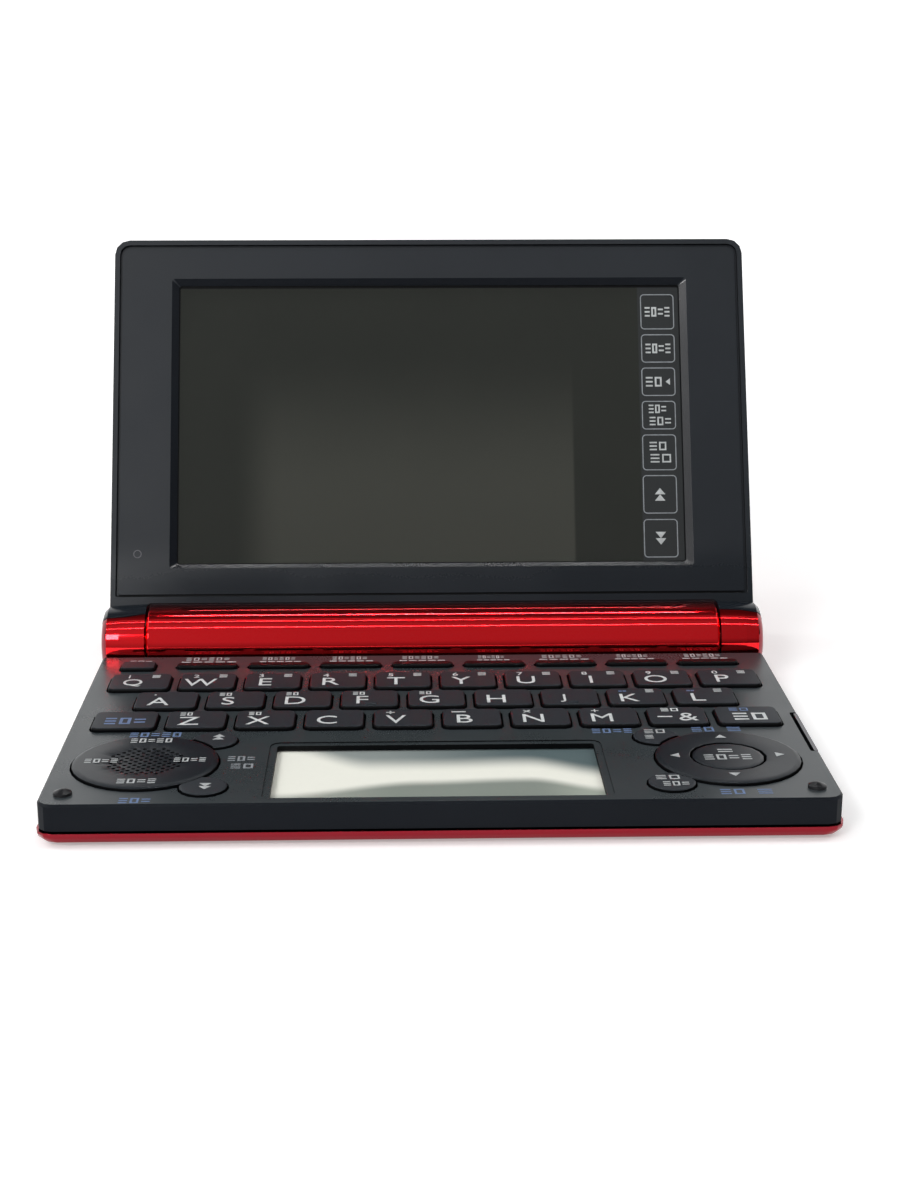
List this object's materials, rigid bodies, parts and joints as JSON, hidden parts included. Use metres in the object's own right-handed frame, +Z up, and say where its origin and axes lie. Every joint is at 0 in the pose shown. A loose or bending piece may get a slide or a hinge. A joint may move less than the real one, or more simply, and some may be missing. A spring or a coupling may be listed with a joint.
{
  "type": "electronic dictionary",
  "caption": "Clamshell pocket electronic dictionary: a small keyboard base with round pads and a memo display, a round battery barrel, and a display lid that folds down over the keys.",
  "frame": {"origin": "on the surface that the part stands on, under the centre of the box round the open part", "axes": "+X to the user's right along the hinge line, +Y away from the user towards the hinge, +Z up from the surface"},
  "size_m": [0.1488, 0.1402, 0.0951],
  "materials": {
    "red_gloss": "glossy metallic red lacquer over moulded plastic",
    "deck_black": "fine satin charcoal plastic",
    "lid_black": "matt black plastic",
    "key_black": "satin black plastic with printed legends",
    "stylus_black": "satin black plastic",
    "display_glass": "dark grey-green display behind a glossy window",
    "memo_glass": "silvery reflective display behind a glossy touch window",
    "sheet_rubber": "translucent grey silicone rubber",
    "board_green": "glass-fibre circuit board with green resist",
    "cell_silver": "plain sleeved battery cell",
    "speaker_steel": "small speaker with a pressed steel basket",
    "pin_steel": "turned steel hinge pin"
  },
  "bodies": {
    "base": {"bottom_case": "red_gloss", "top_case": "deck_black", "battery_barrel": "red_gloss", "battery_left": "cell_silver", "battery_right": "cell_silver", "main_board": "board_green", "key_sheet": "sheet_rubber", "sub_display": "memo_glass", "speaker": "speaker_steel"},
    "lid": {"lid_cover": "red_gloss", "lid_frame": "lid_black", "display_panel": "display_glass", "hinge_pin": "pin_steel"},
    "stylus": {"stylus": "stylus_black"},
    "battery_cover": {"battery_cover": "red_gloss"},
    "pad_left": {"pad_left": "key_black"},
    "pad_ring": {"pad_ring": "key_black"},
    "key_q": {"key_q": "key_black"},
    "key_w": {"key_w": "key_black"},
    "key_e": {"key_e": "key_black"},
    "key_r": {"key_r": "key_black"},
    "key_t": {"key_t": "key_black"},
    "key_y": {"key_y": "key_black"},
    "key_u": {"key_u": "key_black"},
    "key_i": {"key_i": "key_black"},
    "key_o": {"key_o": "key_black"},
    "key_p": {"key_p": "key_black"},
    "key_a": {"key_a": "key_black"},
    "key_s": {"key_s": "key_black"},
    "key_d": {"key_d": "key_black"},
    "key_f": {"key_f": "key_black"},
    "key_g": {"key_g": "key_black"},
    "key_h": {"key_h": "key_black"},
    "key_j": {"key_j": "key_black"},
    "key_k": {"key_k": "key_black"},
    "key_l": {"key_l": "key_black"},
    "key_shift": {"key_shift": "key_black"},
    "key_z": {"key_z": "key_black"},
    "key_x": {"key_x": "key_black"},
    "key_c": {"key_c": "key_black"},
    "key_v": {"key_v": "key_black"},
    "key_b": {"key_b": "key_black"},
    "key_n": {"key_n": "key_black"},
    "key_m": {"key_m": "key_black"},
    "key_symbol": {"key_symbol": "key_black"},
    "key_delete": {"key_delete": "key_black"},
    "key_power": {"key_power": "key_black"},
    "key_bar_1": {"key_bar_1": "key_black"},
    "key_bar_2": {"key_bar_2": "key_black"},
    "key_bar_3": {"key_bar_3": "key_black"},
    "key_bar_4": {"key_bar_4": "key_black"},
    "key_bar_5": {"key_bar_5": "key_black"},
    "key_bar_6": {"key_bar_6": "key_black"},
    "key_bar_7": {"key_bar_7": "key_black"},
    "key_bar_8": {"key_bar_8": "key_black"},
    "key_page_up": {"key_page_up": "key_black"},
    "key_page_down": {"key_page_down": "key_black"},
    "key_voice": {"key_voice": "key_black"},
    "key_back": {"key_back": "key_black"},
    "key_enter": {"key_enter": "key_black"}
  },
  "joints": [
    {"name": "lid_hinge", "type": "hinge", "parent": "base", "child": "lid", "pos_m": [0, 0.0258, 0.00915], "axis": [1, 0, 0], "range_deg": [-20, 114.5]},
    {"name": "stylus_slide", "type": "slide", "parent": "base", "child": "stylus", "axis": [1, 0, 0], "range_m": [0, 0.006]},
    {"name": "battery_cover_slide", "type": "slide", "parent": "base", "child": "battery_cover", "axis": [0, 1, 0], "range_m": [0, 0.012]},
    {"name": "pad_left_rock", "type": "hinge", "parent": "base", "child": "pad_left", "pos_m": [-0.056, -0.0494, 0.0067], "axis": [1, 0, 0], "range_deg": [-1.6, 1.6], "stiffness_Nm_per_rad": 0.6},
    {"name": "pad_ring_rock", "type": "hinge", "parent": "base", "child": "pad_ring", "pos_m": [0.0552, -0.0494, 0.0067], "axis": [1, 0, 0], "range_deg": [-1.6, 1.6], "stiffness_Nm_per_rad": 0.6},
    {"name": "key_q_press", "type": "slide", "parent": "base", "child": "key_q", "axis": [0, 0, -1], "range_m": [0, 0.0008], "stiffness_N_per_m": 300, "springref_m": -0.0005},
    {"name": "key_w_press", "type": "slide", "parent": "base", "child": "key_w", "axis": [0, 0, -1], "range_m": [0, 0.0008], "stiffness_N_per_m": 300, "springref_m": -0.0005},
    {"name": "key_e_press", "type": "slide", "parent": "base", "child": "key_e", "axis": [0, 0, -1], "range_m": [0, 0.0008], "stiffness_N_per_m": 300, "springref_m": -0.0005},
    {"name": "key_r_press", "type": "slide", "parent": "base", "child": "key_r", "axis": [0, 0, -1], "range_m": [0, 0.0008], "stiffness_N_per_m": 300, "springref_m": -0.0005},
    {"name": "key_t_press", "type": "slide", "parent": "base", "child": "key_t", "axis": [0, 0, -1], "range_m": [0, 0.0008], "stiffness_N_per_m": 300, "springref_m": -0.0005},
    {"name": "key_y_press", "type": "slide", "parent": "base", "child": "key_y", "axis": [0, 0, -1], "range_m": [0, 0.0008], "stiffness_N_per_m": 300, "springref_m": -0.0005},
    {"name": "key_u_press", "type": "slide", "parent": "base", "child": "key_u", "axis": [0, 0, -1], "range_m": [0, 0.0008], "stiffness_N_per_m": 300, "springref_m": -0.0005},
    {"name": "key_i_press", "type": "slide", "parent": "base", "child": "key_i", "axis": [0, 0, -1], "range_m": [0, 0.0008], "stiffness_N_per_m": 300, "springref_m": -0.0005},
    {"name": "key_o_press", "type": "slide", "parent": "base", "child": "key_o", "axis": [0, 0, -1], "range_m": [0, 0.0008], "stiffness_N_per_m": 300, "springref_m": -0.0005},
    {"name": "key_p_press", "type": "slide", "parent": "base", "child": "key_p", "axis": [0, 0, -1], "range_m": [0, 0.0008], "stiffness_N_per_m": 300, "springref_m": -0.0005},
    {"name": "key_a_press", "type": "slide", "parent": "base", "child": "key_a", "axis": [0, 0, -1], "range_m": [0, 0.0008], "stiffness_N_per_m": 300, "springref_m": -0.0005},
    {"name": "key_s_press", "type": "slide", "parent": "base", "child": "key_s", "axis": [0, 0, -1], "range_m": [0, 0.0008], "stiffness_N_per_m": 300, "springref_m": -0.0005},
    {"name": "key_d_press", "type": "slide", "parent": "base", "child": "key_d", "axis": [0, 0, -1], "range_m": [0, 0.0008], "stiffness_N_per_m": 300, "springref_m": -0.0005},
    {"name": "key_f_press", "type": "slide", "parent": "base", "child": "key_f", "axis": [0, 0, -1], "range_m": [0, 0.0008], "stiffness_N_per_m": 300, "springref_m": -0.0005},
    {"name": "key_g_press", "type": "slide", "parent": "base", "child": "key_g", "axis": [0, 0, -1], "range_m": [0, 0.0008], "stiffness_N_per_m": 300, "springref_m": -0.0005},
    {"name": "key_h_press", "type": "slide", "parent": "base", "child": "key_h", "axis": [0, 0, -1], "range_m": [0, 0.0008], "stiffness_N_per_m": 300, "springref_m": -0.0005},
    {"name": "key_j_press", "type": "slide", "parent": "base", "child": "key_j", "axis": [0, 0, -1], "range_m": [0, 0.0008], "stiffness_N_per_m": 300, "springref_m": -0.0005},
    {"name": "key_k_press", "type": "slide", "parent": "base", "child": "key_k", "axis": [0, 0, -1], "range_m": [0, 0.0008], "stiffness_N_per_m": 300, "springref_m": -0.0005},
    {"name": "key_l_press", "type": "slide", "parent": "base", "child": "key_l", "axis": [0, 0, -1], "range_m": [0, 0.0008], "stiffness_N_per_m": 300, "springref_m": -0.0005},
    {"name": "key_shift_press", "type": "slide", "parent": "base", "child": "key_shift", "axis": [0, 0, -1], "range_m": [0, 0.0008], "stiffness_N_per_m": 300, "springref_m": -0.0005},
    {"name": "key_z_press", "type": "slide", "parent": "base", "child": "key_z", "axis": [0, 0, -1], "range_m": [0, 0.0008], "stiffness_N_per_m": 300, "springref_m": -0.0005},
    {"name": "key_x_press", "type": "slide", "parent": "base", "child": "key_x", "axis": [0, 0, -1], "range_m": [0, 0.0008], "stiffness_N_per_m": 300, "springref_m": -0.0005},
    {"name": "key_c_press", "type": "slide", "parent": "base", "child": "key_c", "axis": [0, 0, -1], "range_m": [0, 0.0008], "stiffness_N_per_m": 300, "springref_m": -0.0005},
    {"name": "key_v_press", "type": "slide", "parent": "base", "child": "key_v", "axis": [0, 0, -1], "range_m": [0, 0.0008], "stiffness_N_per_m": 300, "springref_m": -0.0005},
    {"name": "key_b_press", "type": "slide", "parent": "base", "child": "key_b", "axis": [0, 0, -1], "range_m": [0, 0.0008], "stiffness_N_per_m": 300, "springref_m": -0.0005},
    {"name": "key_n_press", "type": "slide", "parent": "base", "child": "key_n", "axis": [0, 0, -1], "range_m": [0, 0.0008], "stiffness_N_per_m": 300, "springref_m": -0.0005},
    {"name": "key_m_press", "type": "slide", "parent": "base", "child": "key_m", "axis": [0, 0, -1], "range_m": [0, 0.0008], "stiffness_N_per_m": 300, "springref_m": -0.0005},
    {"name": "key_symbol_press", "type": "slide", "parent": "base", "child": "key_symbol", "axis": [0, 0, -1], "range_m": [0, 0.0008], "stiffness_N_per_m": 300, "springref_m": -0.0005},
    {"name": "key_delete_press", "type": "slide", "parent": "base", "child": "key_delete", "axis": [0, 0, -1], "range_m": [0, 0.0008], "stiffness_N_per_m": 300, "springref_m": -0.0005},
    {"name": "key_power_press", "type": "slide", "parent": "base", "child": "key_power", "axis": [0, 0, -1], "range_m": [0, 0.0008], "stiffness_N_per_m": 300, "springref_m": -0.0005},
    {"name": "key_bar_1_press", "type": "slide", "parent": "base", "child": "key_bar_1", "axis": [0, 0, -1], "range_m": [0, 0.0008], "stiffness_N_per_m": 300, "springref_m": -0.0005},
    {"name": "key_bar_2_press", "type": "slide", "parent": "base", "child": "key_bar_2", "axis": [0, 0, -1], "range_m": [0, 0.0008], "stiffness_N_per_m": 300, "springref_m": -0.0005},
    {"name": "key_bar_3_press", "type": "slide", "parent": "base", "child": "key_bar_3", "axis": [0, 0, -1], "range_m": [0, 0.0008], "stiffness_N_per_m": 300, "springref_m": -0.0005},
    {"name": "key_bar_4_press", "type": "slide", "parent": "base", "child": "key_bar_4", "axis": [0, 0, -1], "range_m": [0, 0.0008], "stiffness_N_per_m": 300, "springref_m": -0.0005},
    {"name": "key_bar_5_press", "type": "slide", "parent": "base", "child": "key_bar_5", "axis": [0, 0, -1], "range_m": [0, 0.0008], "stiffness_N_per_m": 300, "springref_m": -0.0005},
    {"name": "key_bar_6_press", "type": "slide", "parent": "base", "child": "key_bar_6", "axis": [0, 0, -1], "range_m": [0, 0.0008], "stiffness_N_per_m": 300, "springref_m": -0.0005},
    {"name": "key_bar_7_press", "type": "slide", "parent": "base", "child": "key_bar_7", "axis": [0, 0, -1], "range_m": [0, 0.0008], "stiffness_N_per_m": 300, "springref_m": -0.0005},
    {"name": "key_bar_8_press", "type": "slide", "parent": "base", "child": "key_bar_8", "axis": [0, 0, -1], "range_m": [0, 0.0008], "stiffness_N_per_m": 300, "springref_m": -0.0005},
    {"name": "key_page_up_press", "type": "slide", "parent": "base", "child": "key_page_up", "axis": [0, 0, -1], "range_m": [0, 0.0008], "stiffness_N_per_m": 300, "springref_m": -0.0005},
    {"name": "key_page_down_press", "type": "slide", "parent": "base", "child": "key_page_down", "axis": [0, 0, -1], "range_m": [0, 0.0008], "stiffness_N_per_m": 300, "springref_m": -0.0005},
    {"name": "key_voice_press", "type": "slide", "parent": "base", "child": "key_voice", "axis": [0, 0, -1], "range_m": [0, 0.0008], "stiffness_N_per_m": 300, "springref_m": -0.0005},
    {"name": "key_back_press", "type": "slide", "parent": "base", "child": "key_back", "axis": [0, 0, -1], "range_m": [0, 0.0008], "stiffness_N_per_m": 300, "springref_m": -0.0005},
    {"name": "key_enter_press", "type": "slide", "parent": "base", "child": "key_enter", "axis": [0, 0, -1], "range_m": [0, 0.0008], "stiffness_N_per_m": 300, "springref_m": -0.0005}
  ]
}
